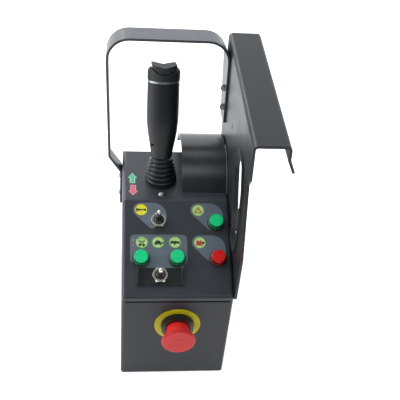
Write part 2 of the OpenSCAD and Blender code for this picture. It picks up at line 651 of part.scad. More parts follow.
// Head: a yoke that holds the rocker
head_r = grip_r + seat;
pocket_r = 21;
pocket_low = 7.8;
rocker_half = 14.3;
rocker_edge = 1;
rocker_low = 8.9;
rocker_r = 17;
rocker_pin_h = 12.2;
rocker_pin_r = 1.25;
rocker_swing = 8;
post_x = 3.5;
post_y = 3;
shoulder_h = 14.8;
module on_head() { on_grip() translate([0, 0, grip_len + ring_h]) children(); }
module grip_head() color([0.1, 0.1, 0.11]) place() on_head() difference() {
  union() {
    difference() {
      rotate_extrude($fn = 72) polygon([[0, 0], [head_r - edge_r / 4, 0], [head_r, edge_r / 4],
        [head_r, shoulder_h - edge_r], [head_r - edge_r / 4, shoulder_h - edge_r / 2],
        [head_r - edge_r, shoulder_h + edge_r / 4], [0, shoulder_h + edge_r / 4]]);
      along_y(-2 * head_r, 2 * head_r) rocker_pocket();
    }
    block(-post_x, post_x, -post_y, post_y, 0, rocker_pin_h + rocker_pin_r + post_cap);
  }
  translate([0, 0, rocker_pin_h]) rotate([90, 0, 0]) translate([0, 0, -2 * post_y])
    cylinder(r = rocker_pin_r + fit, h = 4 * post_y);
}
module rocker_pocket() {
  polygon(concat(
    [for (a = [-150:10:-30]) [0, pocket_low + pocket_r] + pocket_r * [cos(a), sin(a)]],
    [[pocket_mouth, head_h + over], [-pocket_mouth, head_h + over]]));
}
pocket_mouth = 17.6;
module steering_rocker() color([0.08, 0.08, 0.09]) place() on_head() difference() {
  intersection() {
    along_y(-head_r, head_r) polygon(concat(
      [for (a = [-150:10:-30]) [0, rocker_low + rocker_r] + rocker_r * [cos(a), sin(a)]],
      [[rocker_half + rocker_edge, head_h - rocker_edge], [rocker_half, head_h], [0, valley_h],
       [-rocker_half, head_h], [-rocker_half - rocker_edge, head_h - rocker_edge]]));
    cylinder(r = head_r - run_gap, h = head_h + over, $fn = 72);
  }
  block(-post_x - post_side, post_x + post_side, -post_y - fit, post_y + fit, 0, rocker_pin_h + rocker_pin_r + post_top);
  translate([0, 0, rocker_pin_h]) rotate([90, 0, 0]) translate([0, 0, -rocker_pin_half])
    cylinder(r = rocker_pin_r + fit, h = 2 * rocker_pin_half);
}
post_side = 2;
post_top = 1.2;
post_cap = 0.7;
valley_h = 15.8;
rocker_pin_half = 9;
module rocker_pin() color("silver") place() on_head() translate([0, 0, rocker_pin_h]) rotate([90, 0, 0])
  translate([0, 0, -rocker_pin_half + run_gap]) cylinder(r = rocker_pin_r, h = 2 * (rocker_pin_half - run_gap));

// Trigger on the far side of the grip
module drive_trigger() color([0.07, 0.07, 0.08]) place() on_grip() difference() {
  along_x(-trigger_half, trigger_half) polygon(rounded(
    [[trigger_pin_y - 2 * trigger_pin_r, trigger_pin_s],
     [trigger_pin_y - 2 * trigger_pin_r, trigger_pin_s + 2 * trigger_pin_r],
     [trigger_pin_y + trigger_lip, trigger_pin_s + 2 * trigger_pin_r],
     [grip_r + trigger_reach / 2, trigger_pin_s - trigger_len / 5],
     [grip_r + trigger_reach * 0.65, trigger_pin_s - trigger_len / 2],
     [grip_r + trigger_reach, trigger_low + trigger_tip], [grip_r + trigger_lip, trigger_low + trigger_tip / 2],
     [trigger_pin_y, trigger_low + trigger_lip], [trigger_pin_y - 2 * trigger_pin_r, trigger_pin_s]],
    [0, 1, 2, 4, 8, 1.5, 1, 2, 0] * trigger_reach / 7));
  translate([-2 * trigger_half, trigger_pin_y, trigger_pin_s]) rotate([0, 90, 0])
    cylinder(r = trigger_pin_r + fit, h = 4 * trigger_half);
}
module trigger_pin() color("silver") place() on_grip() translate([-trigger_half - grip_wall / 2, trigger_pin_y,
  trigger_pin_s]) rotate([0, 90, 0]) cylinder(r = trigger_pin_r, h = 2 * trigger_half + grip_wall);

// Emergency stop

stop_barrel_r = 11;
stop_ring_t = 1;
stop_collar_h = 7;
stop_neck_r = 13.2;
stop_plunger_r = 5;
stop_cap_h = 2.4;
stop_dome_h = 2.4;
stop_barrel_len = 20;
stop_neck_gap = 0.5;
stop_floor_t = 1;
module stop_ring() color([0.93, 0.82, 0.12]) place() on_stop() tube(stop_ring_r, stop_barrel_r + fit, stop_ring_t);
module stop_collar() color([0.06, 0.06, 0.07]) place() on_stop() difference() {
  union() {
    translate([0, 0, stop_ring_t]) cylinder(r1 = stop_collar_r, r2 = stop_collar_r - stop_ring_t, h = stop_collar_h);
    translate([0, 0, -stop_barrel_len]) cylinder(r = stop_barrel_r, h = stop_barrel_len + stop_ring_t + stop_floor_t / 2);
  }
  translate([0, 0, stop_ring_t + stop_floor_t])
    cylinder(r = stop_neck_r + run_gap + stop_ring_t, h = stop_collar_h + over);
  translate([0, 0, -stop_barrel_len - over]) cylinder(r = stop_plunger_r + fit, h = stop_barrel_len + 4 * over);
}
module stop_locknut() color([0.15, 0.15, 0.16]) place() on_stop() translate([0, 0, -wall - stop_nut_h])
  tube(stop_nut_r, stop_barrel_r + fit, stop_nut_h);
stop_nut_r = 15;
stop_nut_h = 5;
module stop_contacts() color([0.1, 0.32, 0.16]) place() on_stop()
  translate([0, 0, -stop_barrel_len - contact_h]) difference() {
    translate([-contact_w / 2, -contact_w / 2, 0]) cube([contact_w, contact_w, contact_h]);
    translate([0, 0, contact_h - stop_travel - 2 * over]) cylinder(r = stop_plunger_r + over, h = stop_travel + 3 * over);
  }
contact_w = 28;
contact_h = 24;
module stop_plunger() color([0.1, 0.1, 0.1]) place() on_stop() translate([0, 0, -stop_barrel_len])
  cylinder(r = stop_plunger_r, h = stop_barrel_len + stop_reach - stop_dome_h - over);
// Mushroom head: a thin rounded disc with a round groove, on a neck that widens towards it
stop_flare = 1.6;
stop_bead = 1;
stop_groove_r = 5.2;
stop_groove_w = 0.8;
stop_groove_d = 0.4;
stop_rim = stop_reach - stop_dome_h;
module stop_head() color([0.85, 0.08, 0.08]) place() on_stop() difference() {
  rotate_extrude($fn = 72) polygon(concat(
    [[0, stop_neck_low], [stop_neck_r, stop_neck_low], [stop_neck_r + stop_flare, stop_cap_low],
     [stop_head_r - stop_bead, stop_cap_low], [stop_head_r, stop_cap_low + stop_bead], [stop_head_r, stop_rim]],
    [for (i = [1:6]) let(a = 15 * i)
      [stop_head_r - stop_dome_h + stop_dome_h * cos(a), stop_rim + stop_dome_h * sin(a)]],
    [[stop_groove_r + stop_groove_w, stop_reach], [stop_groove_r + stop_groove_w / 2, stop_reach - stop_groove_d],
     [stop_groove_r, stop_reach], [0, stop_reach]]));
  translate([0, 0, stop_neck_low - over]) cylinder(r = stop_plunger_r + fit,
    h = stop_rim - stop_neck_low);
}
stop_neck_low = stop_ring_t + stop_floor_t + stop_travel + stop_neck_gap;
stop_cap_low = stop_reach - stop_cap_h - stop_dome_h;

// Pilot lamps

lamp_lift_x = 22.2;
lamp_speed_x = 64.4;
lamp_fault_in = 17.7;
lamp_battery_in = 17.3;
lamp_low_s = 47.4;
lamp_high_s = 93.3;
lamp_spots = [[lamp_lift_x, lamp_low_s], [lamp_speed_x, lamp_low_s], [body_w - lamp_fault_in, lamp_high_s],
  [body_w - lamp_battery_in, lamp_low_s]];
lamp_barrel_r = 8;
lamp_seal_r = 10.4;
lamp_seal_h = 1.2;
lamp_barrel_len = 24;
lamp_nut_r = 10.5;
lamp_nut_h = 4;
module lamp_lens(p, c) color(c) place() on_panel(p.x, p.y) rotate_extrude($fn = 60) polygon([
  [0, lamp_seal_h], [lamp_r, lamp_seal_h], [lamp_r, lamp_seal_h + 2 * lamp_seal_h],
  [lamp_r - lamp_seal_h / 2, lamp_seal_h + 2.4 * lamp_seal_h],
  [lamp_r - lamp_seal_h, lamp_h - lamp_seal_h / 2], [lamp_r - 1.5 * lamp_seal_h, lamp_h], [0, lamp_h]]);
module lamp_body(p) color([0.07, 0.07, 0.08]) place() on_panel(p.x, p.y) {
  cylinder(r = lamp_seal_r, h = lamp_seal_h);
  translate([0, 0, -lamp_barrel_len]) cylinder(r = lamp_barrel_r, h = lamp_barrel_len + lamp_seal_h / 2);
}
lamp_green = [0.05, 0.65, 0.35];
module lamp_lift_lens() lamp_lens(lamp_spots[0], lamp_green);
module lamp_lift_body() lamp_body(lamp_spots[0]);
module lamp_speed_lens() lamp_lens(lamp_spots[1], lamp_green);
module lamp_speed_body() lamp_body(lamp_spots[1]);
module lamp_fault_lens() lamp_lens(lamp_spots[2], lamp_green);
module lamp_fault_body() lamp_body(lamp_spots[2]);
module lamp_battery_lens() lamp_lens(lamp_spots[3], [0.85, 0.05, 0.07]);
module lamp_battery_body() lamp_body(lamp_spots[3]);
module lamp_nuts() color([0.12, 0.12, 0.13]) place() for (p = lamp_spots)
  on_panel(p.x, p.y) translate([0, 0, -wall - lamp_nut_h]) tube(lamp_nut_r, lamp_barrel_r + fit, lamp_nut_h);

// Toggle switches, each in a frame whose local Z = 0 is the face under its nut

horn_x = 43.1;
horn_s = 94.5;
selector_x = 43.8;
selector_s = 25;
bush_r = 6;
bush_bore = 4.4;
nut_h = 8;
nut_mouth = 6.3;
seal_r = 5.7;
ball_h = 6.2;
seal_cut = 2.4;
seal_tip_h = 16;
seal_tip_r = 3.1;
lever_r = 1.7;
lever_tip_r = 2.6;
case_w = 16;
case_d = 28;
case_h = 22;
thread_h = 2.6;
module toggle_case(under) {
  difference() {
    union() {
      translate([0, 0, -under - wall]) cylinder(r = bush_r, h = under + thread_h + wall);
      translate([-case_w / 2, -case_d / 2, -under - case_h]) cube([case_w, case_d, case_h]);
    }
    translate([0, 0, -under]) cylinder(r = bush_bore, h = under + thread_h + over);
  }
}
module toggle_nut() difference() {
  hex_nut(nut_af, bush_r + fit, nut_h);
  translate([0, 0, thread_h + fit]) cylinder(r = nut_mouth, h = nut_h);
}
module toggle_lever(tilt) translate([0, 0, ball_h]) rotate([-tilt, 0, 0]) {
  translate([0, 0, -ball_h - wall / 2]) cylinder(r = lever_r, h = lever_h + wall / 2 - lever_tip_r);
  rotate_extrude() polygon([[0, seal_tip_h - ball_h + seat], [lever_r, seal_tip_h - ball_h + seat],
    [lever_tip_r, lever_h - ball_h - 2 * lever_tip_r], [lever_tip_r, lever_h - ball_h - lever_tip_r],
    [0, lever_h - ball_h - lever_tip_r]]);
  translate([0, 0, lever_h - ball_h - lever_tip_r]) sphere(r = lever_tip_r);
}
module toggle_seal(tilt) translate([0, 0, ball_h]) rotate([-tilt, 0, 0]) difference() {
  union() {
    intersection() {
      sphere(r = seal_r);
      translate([0, 0, -seal_cut]) cylinder(r = seal_r + over, h = seal_cut + seal_r);
    }
    cylinder(r1 = seal_r, r2 = seal_tip_r, h = seal_tip_h - ball_h);
  }
  translate([0, 0, -seal_r - over]) cylinder(r = lever_r + fit, h = 4 * seal_r);
}
module horn_switch_case() color([0.1, 0.2, 0.4]) place() on_panel(horn_x, horn_s) toggle_case(wall);
module horn_switch_nut() color("silver") place() on_panel(horn_x, horn_s) toggle_nut();
module horn_lever() color("silver") place() on_panel(horn_x, horn_s) toggle_lever(lever_throw);
module horn_seal() color([0.06, 0.06, 0.07]) place() on_panel(horn_x, horn_s) toggle_seal(lever_throw);

// Guard plate with two ears beside the selector
guard_left = 17.6;
guard_right = 71.4;
guard_half = 10.7;
guard_plate_t = 2;
module selector_guard() color([0.2, 0.2, 0.23]) place() on_panel(0, selector_s) difference() {
  along_y(-guard_half, guard_half) polygon(bent_sheet([[guard_left, ear_h], [guard_left, 0], [guard_right, 0],
    [guard_right, ear_h]], guard_plate_t, guard_plate_t / 4));
  translate([selector_x, 0, -over]) cylinder(r = bush_r + fit, h = guard_plate_t + 2 * over);
}
module selector_switch_case() color([0.1, 0.2, 0.4]) place() on_panel(selector_x, selector_s)
  translate([0, 0, guard_plate_t]) toggle_case(wall + guard_plate_t);
module selector_switch_nut() color("silver") place() on_panel(selector_x, selector_s)
  translate([0, 0, guard_plate_t]) toggle_nut();
module selector_lever() color("silver") place() on_panel(selector_x, selector_s)
  translate([0, 0, guard_plate_t]) toggle_lever(0);
module selector_seal() color([0.06, 0.06, 0.07]) place() on_panel(selector_x, selector_s)
  translate([0, 0, guard_plate_t]) toggle_seal(0);

// Inside the lower box

small_r = 1.5;
board_side = 18;
board_w = in_w - 2 * board_side;
board_x = wall + board_side;
board_t = 1.6;
board_z = 12;
board_y = 60;
board_back = 40;
board_d = body_d - board_y - board_back;
standoff_r = 3.5;
gland_x = 30;
gland_z = 34;
gland_r = 10;
gland_bore = 6;
gland_af = 24;
gland_flange_h = 6;
gland_cap_h = 14;
gland_in = 12;
module circuit_board() color([0.05, 0.35, 0.2]) place() {
  difference() {
    block(board_x, board_x + board_w, board_y, board_y + board_d, board_z, board_z + board_t);
    standoff_spots(board_z - over, small_r + fit, board_t + 2 * over);
  }
  for (i = [-1:1]) translate([body_w / 2 - relay_w / 2 + i * relay_step, board_y + board_d / 2, board_z + board_t / 2])
    cube([relay_w, relay_d, relay_w + board_t / 2]);
}
relay_step = 22;
relay_w = 16;
relay_d = 22;
module standoff_spots(z, r, h) {
  for (x = [board_x + 2 * standoff_r, board_x + board_w - 2 * standoff_r],
       y = [board_y + 2 * standoff_r, board_y + board_d - 2 * standoff_r])
    translate([x, y, z]) cylinder(r = r, h = h);
}
module board_standoffs() color("silver") place() {
  standoff_spots(wall, standoff_r, board_z - wall);
  standoff_spots(wall, small_r, board_z - wall + board_t + over);
}
module cable_gland() color([0.1, 0.1, 0.11]) place() facing_back(gland_x, body_d, gland_z) difference() {
  union() {
    translate([0, 0, -wall - gland_in]) cylinder(r = gland_r, h = 2 * wall + gland_in + gland_flange_h);
    cylinder(r = gland_af / sqrt(3), h = gland_flange_h, $fn = 6);
    translate([0, 0, gland_flange_h]) cylinder(r1 = gland_r + over, r2 = gland_r - over, h = gland_cap_h);
  }
  translate([0, 0, -wall - gland_in - over])
    cylinder(r = gland_bore, h = wall + gland_in + gland_flange_h + gland_cap_h + 2 * over);
}
module gland_nut() color([0.1, 0.1, 0.11]) place() facing_back(gland_x, body_d, gland_z)
  translate([0, 0, -2 * wall - gland_nut_h]) hex_nut(gland_af, gland_r + fit, gland_nut_h);
gland_nut_h = 5;

lower_box();
rear_cover();
rear_screws();
console_lid();
lid_seal();
side_plate();
side_plate_bolts();
slot_trim();
curved_guard();
guard_rivets();
hoop();
hoop_bolts();
hoop_nuts();
hoop_foot_bolts();
joystick_base();
joystick_screws();
joystick_pin();
centering_springs();
joystick_sensor();
joystick_shaft();
joystick_boot();
joystick_grip();
grip_screw();
grip_ring();
grip_head();
steering_rocker();
rocker_pin();
drive_trigger();
trigger_pin();
stop_ring();
stop_collar();
stop_locknut();
stop_contacts();
stop_plunger();
stop_head();
lamp_lift_lens();
lamp_lift_body();
lamp_speed_lens();
lamp_speed_body();
lamp_fault_lens();
lamp_fault_body();
lamp_battery_lens();
lamp_battery_body();
lamp_nuts();
horn_switch_case();
horn_switch_nut();
horn_lever();
horn_seal();
selector_guard();
selector_switch_case();
selector_switch_nut();
selector_lever();
selector_seal();
circuit_board();
board_standoffs();
cable_gland();
gland_nut();
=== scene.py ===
import json
import math

import bpy
from mathutils import Matrix, Vector
from mathutils.geometry import tessellate_polygon


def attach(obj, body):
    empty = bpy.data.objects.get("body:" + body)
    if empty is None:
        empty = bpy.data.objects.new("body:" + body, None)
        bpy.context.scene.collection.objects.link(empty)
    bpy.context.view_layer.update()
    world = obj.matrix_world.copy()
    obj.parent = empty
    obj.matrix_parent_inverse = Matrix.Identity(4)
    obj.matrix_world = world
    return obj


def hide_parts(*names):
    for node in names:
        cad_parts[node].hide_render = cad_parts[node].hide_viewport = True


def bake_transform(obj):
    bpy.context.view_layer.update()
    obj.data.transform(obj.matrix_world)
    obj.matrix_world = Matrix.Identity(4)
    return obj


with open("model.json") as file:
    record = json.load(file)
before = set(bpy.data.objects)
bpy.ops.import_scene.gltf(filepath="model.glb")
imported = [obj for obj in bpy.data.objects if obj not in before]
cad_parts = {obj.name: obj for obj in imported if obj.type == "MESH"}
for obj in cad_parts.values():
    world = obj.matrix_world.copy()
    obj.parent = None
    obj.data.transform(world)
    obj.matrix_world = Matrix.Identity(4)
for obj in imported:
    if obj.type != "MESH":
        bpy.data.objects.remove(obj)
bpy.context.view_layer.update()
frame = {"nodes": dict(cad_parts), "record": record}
nodes = frame["nodes"]

# Sizes of the part in millimetres, as in its source
BODY_W, BODY_D = 130.0, 210.0
WALL, LIP_Z, TILT, PANEL_LEN = 2.0, 144.0, math.radians(24), 123.0
FOLD_Y = PANEL_LEN * math.cos(TILT) - WALL
TOP_Z = LIP_Z + PANEL_LEN * math.sin(TILT)
STICK_X, STICK_Y, LEAN = 47.8, FOLD_Y + 39.0, math.radians(22)
GUARD_R, GUARD_RISE, GUARD_BACK = 62.0, 35.0, 28.3
SLOT_FRONT = 31.5


def at(x, y, z):
    """A point of the part, in metres."""
    return Vector(((x - BODY_W / 2) / 1000, (y - BODY_D / 2) / 1000, z / 1000))


def panel(x, s, h):
    """On the sloped panel: x from the left side, s up the slope, h outward."""
    return at(x, -WALL + s * math.cos(TILT) - h * math.sin(TILT),
              LIP_Z + s * math.sin(TILT) + h * math.cos(TILT))


def top(x, y, h):
    """On the level top: x from the left side, y from the front, h outward."""
    return at(x, y, TOP_Z + h)


def plate(ahead, z, h):
    """On the inner face of the side plate: minus y, then z, and h out of the plate."""
    return at(BODY_W - h, -ahead, z)


# Materials


class Net:
    """A material built from nodes. Lengths in it are in metres."""

    def __init__(self, name):
        self.mat = bpy.data.materials.new(name)
        self.mat.use_nodes = True
        self.tree = self.mat.node_tree
        self.tree.nodes.clear()
        out = self.tree.nodes.new("ShaderNodeOutputMaterial")
        self.bsdf = self.tree.nodes.new("ShaderNodeBsdfPrincipled")
        self.tree.links.new(self.bsdf.outputs[0], out.inputs[0])
        self.pos = self.add("ShaderNodeTexCoord").outputs["Object"]

    def put(self, socket, value):
        """Link a socket, or set a plain value on it."""
        if isinstance(value, bpy.types.NodeSocket):
            self.tree.links.new(value, socket)
        else:
            socket.default_value = value

    def add(self, kind, values=None, **props):
        node = self.tree.nodes.new(kind)
        for key, value in props.items():
            setattr(node, key, value)
        for key, value in (values or {}).items():
            self.put(node.inputs[key], value)
        return node

    def noise(self, scale, detail=2.0, rough=0.5, vector=None, distort=0.0):
        return self.add("ShaderNodeTexNoise", {"Vector": vector or self.pos, "Scale": scale, "Detail": detail,
                                               "Roughness": rough, "Distortion": distort}).outputs["Fac"]

    def math(self, op, a, b=0.0):
        return self.add("ShaderNodeMath", {0: a, 1: b}, operation=op).outputs[0]

    def remap(self, value, lo, hi, to_lo=0.0, to_hi=1.0):
        """Take the range from lo to hi to the range from to_lo to to_hi, and no further."""
        return self.add("ShaderNodeMapRange", {"Value": value, "From Min": lo, "From Max": hi,
                                               "To Min": to_lo, "To Max": to_hi}).outputs[0]

    def mix(self, share, a, b):
        """Colour a, with that share of colour b."""
        node = self.add("ShaderNodeMix", data_type="RGBA")
        for socket, value in ((0, share), (6, a), (7, b)):
            plain = isinstance(value, tuple) and len(value) == 3
            self.put(node.inputs[socket], (*value, 1.0) if plain else value)
        return node.outputs[2]

    def dot(self, vector, direction):
        node = self.add("ShaderNodeVectorMath", {0: vector, 1: direction}, operation="DOT_PRODUCT")
        return node.outputs["Value"]

    def place(self):
        """The x, y and z of the shaded point in the part's frame."""
        return self.add("ShaderNodeSeparateXYZ", {0: self.pos}).outputs

    def edges(self, radius):
        """0 on flat faces and up to 1 at sharp edges, and the normal of the softened edge."""
        soft = self.add("ShaderNodeBevel", {"Radius": radius}, samples=6).outputs[0]
        plain = self.add("ShaderNodeNewGeometry").outputs["Normal"]
        return self.remap(self.dot(soft, plain), 0.995, 0.8), soft

    def bump(self, height, strength, distance, normal=None):
        values = {"Height": height, "Strength": strength, "Distance": distance}
        if normal is not None:
            values["Normal"] = normal
        return self.add("ShaderNodeBump", values).outputs[0]

    def set(self, **values):
        """Set the shader's sockets, named with underscores for spaces, and give the material."""
        for key, value in values.items():
            self.put(self.bsdf.inputs[key.replace("_", " ")], value)
        return self.mat


def shade(colour, k):
    return tuple(min(1.0, c * k) for c in colour)


BARE_STEEL = (0.2, 0.205, 0.215)

# The lid's front lip, painted black along the seam as painted shade under it: where that shade fades upwards
# and backwards, in metres
SEAM_SHADE, SEAM_SHARE = (0.002, 0.002, 0.0025), 0.9
HEM_LOW, HEM_HIGH = 0.1375, 0.1405
HEM_FRONT, HEM_BACK = -0.1058, -0.1048


def painted(name, colour, low=0.4, high=0.54, wear_and_highlight=0.35, gloss=0.3, peel=0.28, speckle=0.5, painted_seam_shade=False):
    """Powder coat, rough from low to high: orange peel, speckle, soft clouds, rubbed edges that also serve as
    a painted highlight where rubbing is full, and painted seam shade on the lid's lower front edge.
    """
    n = Net(name)
    clouds = n.noise(28.0, detail=4.0, rough=0.6)
    fine = n.noise(1500.0, detail=2.0, rough=0.6)
    speck = n.noise(2850.0, detail=1.0)
    base = n.mix(n.remap(clouds, 0.3, 0.7), shade(colour, 0.9), shade(colour, 1.1))
    base = n.mix(n.remap(speck, 0.62, 0.8, 0.0, speckle), base, shade(colour, 1.9))
    rim, soft = n.edges(0.0009)
    patches = n.remap(n.noise(130.0, detail=5.0, rough=0.7), 0.45, 0.7, 0.0, wear_and_highlight)
    base = n.mix(n.math("MULTIPLY", rim, patches), base, BARE_STEEL)
    rough = n.math("ADD", n.remap(clouds, 0.25, 0.75, low, high), n.remap(fine, 0.0, 1.0, -0.05, 0.05))
    # Painted shade: the lowest front strip of the lid is blackened and roughened along its seam with the
    # lower box
    if painted_seam_shade:
        y, z = n.place()[1:]
        below, before = n.remap(z, HEM_LOW, HEM_HIGH, 1.0, 0.0), n.remap(y, HEM_FRONT, HEM_BACK, 1.0, 0.0)
        seam_shade = n.math("MULTIPLY", n.math("MULTIPLY", below, before), SEAM_SHARE)
        base = n.mix(seam_shade, base, SEAM_SHADE)
        rough = n.math("MAXIMUM", rough, seam_shade)
    return n.set(Base_Color=base, Roughness=rough, Specular_IOR_Level=gloss,
                 Normal=n.bump(fine, peel, 0.00012, soft))


def moulded(name, colour, low=0.32, high=0.44, grain=1100.0, strength=0.12, coat=0.0, gloss=0.5):
    """Moulded plastic or rubber, rough from low to high: erosion texture, handling marks, and edges painted
    lighter as a painted highlight.
    """
    n = Net(name)
    fine = n.noise(grain, detail=3.0, rough=0.6)
    marks = n.noise(75.0, detail=6.0, rough=0.72, distort=0.6)
    rim, soft = n.edges(0.0005)
    base = n.mix(n.remap(marks, 0.35, 0.68), shade(colour, 0.88), shade(colour, 1.15))
    # Painted highlight: sharp edges are painted lighter
    base = n.mix(n.math("MULTIPLY", rim, 0.22), base, shade(colour, 2.2))
    rough = n.math("ADD", n.remap(marks, 0.3, 0.7, low, high), n.remap(fine, 0.0, 1.0, -0.04, 0.04))
    return n.set(Base_Color=base, Roughness=rough, Coat_Weight=coat, Coat_Roughness=0.12,
                 Specular_IOR_Level=gloss, Normal=n.bump(fine, strength, 0.00008, soft))


def stop_red():
    """Red head of the stop: a matt face with edges painted lighter as a highlight, and a neck behind it
    painted brighter and more saturated as painted light.
    """
    neck_front, neck_back = -0.1283, -0.1275
    n = Net("plastic_red")
    marks = n.noise(75.0, detail=6.0, rough=0.72, distort=0.6)
    fine = n.noise(1000.0, detail=3.0, rough=0.6)
    rim, soft = n.edges(0.0005)
    # Painted light: the neck is painted brighter where it catches the light, and the face's edges lighter as
    # a highlight
    neck = n.remap(n.place()[1], neck_front, neck_back)
    face = n.mix(n.remap(marks, 0.35, 0.68), (0.52, 0.021, 0.022), (0.6, 0.026, 0.027))
    face = n.mix(n.math("MULTIPLY", rim, 0.3), face, (0.75, 0.12, 0.11))
    base = n.mix(neck, face, (1.0, 0.04, 0.03))
    return n.set(Base_Color=base, Roughness=n.remap(marks, 0.3, 0.7, 0.34, 0.44), Specular_IOR_Level=0.25,
                 Normal=n.bump(fine, 0.1, 0.00008, soft))


def metal(name, colour, low, high, stretch=(1.0, 1.0, 1.0)):
    """Plated or bright steel, rough from low to high: fine stretched scratches, stains, softened edges."""
    n = Net(name)
    stretched = n.add("ShaderNodeMapping", {"Vector": n.pos, "Scale": stretch}).outputs[0]
    lines = n.noise(900.0, detail=3.0, rough=0.6, vector=stretched)
    stains = n.noise(190.0, detail=4.0, rough=0.65)
    soft = n.edges(0.0003)[1]
    base = n.mix(n.remap(stains, 0.35, 0.7), shade(colour, 0.84), shade(colour, 1.04))
    rough = n.math("ADD", n.remap(stains, 0.3, 0.7, low, high), n.remap(lines, 0.2, 0.8, -0.04, 0.05))
    return n.set(Base_Color=base, Metallic=1.0, Roughness=rough, Normal=n.bump(lines, 0.1, 0.00004, soft))


def printed(name, colour, low=0.34, high=0.46):
    """Screen-printed film, rough from low to high: fine grain, faint rubbing."""
    n = Net(name)
    fine = n.noise(1900.0, detail=2.0)
    rub = n.noise(120.0, detail=5.0, rough=0.7)
    base = n.mix(n.remap(rub, 0.3, 0.72), shade(colour, 0.92), shade(colour, 1.06))
    rough = n.remap(rub, 0.3, 0.7, low, high)
    return n.set(Base_Color=base, Roughness=rough, Normal=n.bump(fine, 0.1, 0.00004))


def lens(name, x, s, bright, side_shade, scatter):
    """Translucent lamp cap at x, s on the panel: a pale top, with the top's outer ring and the ribbed side
    painted darker as painted shade and the ribs striped lighter as a painted highlight.
    """
    cap_low, cap_high, rim_in, rim_out, ribs_per_radian = 0.0089, 0.0098, 0.007, 0.0079, 40.0
    n = Net(name)
    origin = panel(x, s, 0)
    local = n.add("ShaderNodeVectorMath", {0: n.pos, 1: origin}, operation="SUBTRACT").outputs[0]
    u = n.dot(local, Vector((1, 0, 0)))
    v = n.dot(local, (panel(x, s + 1, 0) - origin).normalized())
    h = n.dot(local, (panel(x, s, 1) - origin).normalized())
    ribs = n.math("SINE", n.math("MULTIPLY", n.math("ARCTAN2", v, u), ribs_per_radian))
    side = n.remap(h, cap_high, cap_low)
    reach = n.math("SQRT", n.math("ADD", n.math("MULTIPLY", u, u), n.math("MULTIPLY", v, v)))
    mottle = n.noise(260.0, detail=3.0, rough=0.6)
    base = n.mix(n.remap(mottle, 0.3, 0.7), shade(bright, 0.97), shade(bright, 1.02))
    # Painted shade: the top's outer ring and the side turn to the darker side colour; the side's ribs are lit
    # as stripes
    base = n.mix(n.remap(reach, rim_in, rim_out, 0.0, 0.4), base, side_shade)
    base = n.mix(side, base, n.mix(n.remap(ribs, -1.0, 1.0, 0.0, 0.16), side_shade, bright))
    ridges = n.math("MULTIPLY", n.math("MULTIPLY", ribs, side), 0.5)
    height = n.math("ADD", ridges, n.math("MULTIPLY", mottle, 0.12))
    n.bsdf.subsurface_method = "RANDOM_WALK"
    return n.set(Base_Color=base, Roughness=n.remap(mottle, 0.3, 0.7, 0.2, 0.3), Subsurface_Weight=0.25,
                 Subsurface_Radius=scatter, Subsurface_Scale=0.002, Coat_Weight=0.25, Coat_Roughness=0.1,
                 Normal=n.bump(height, 0.5, 0.0002, n.edges(0.0004)[1]))


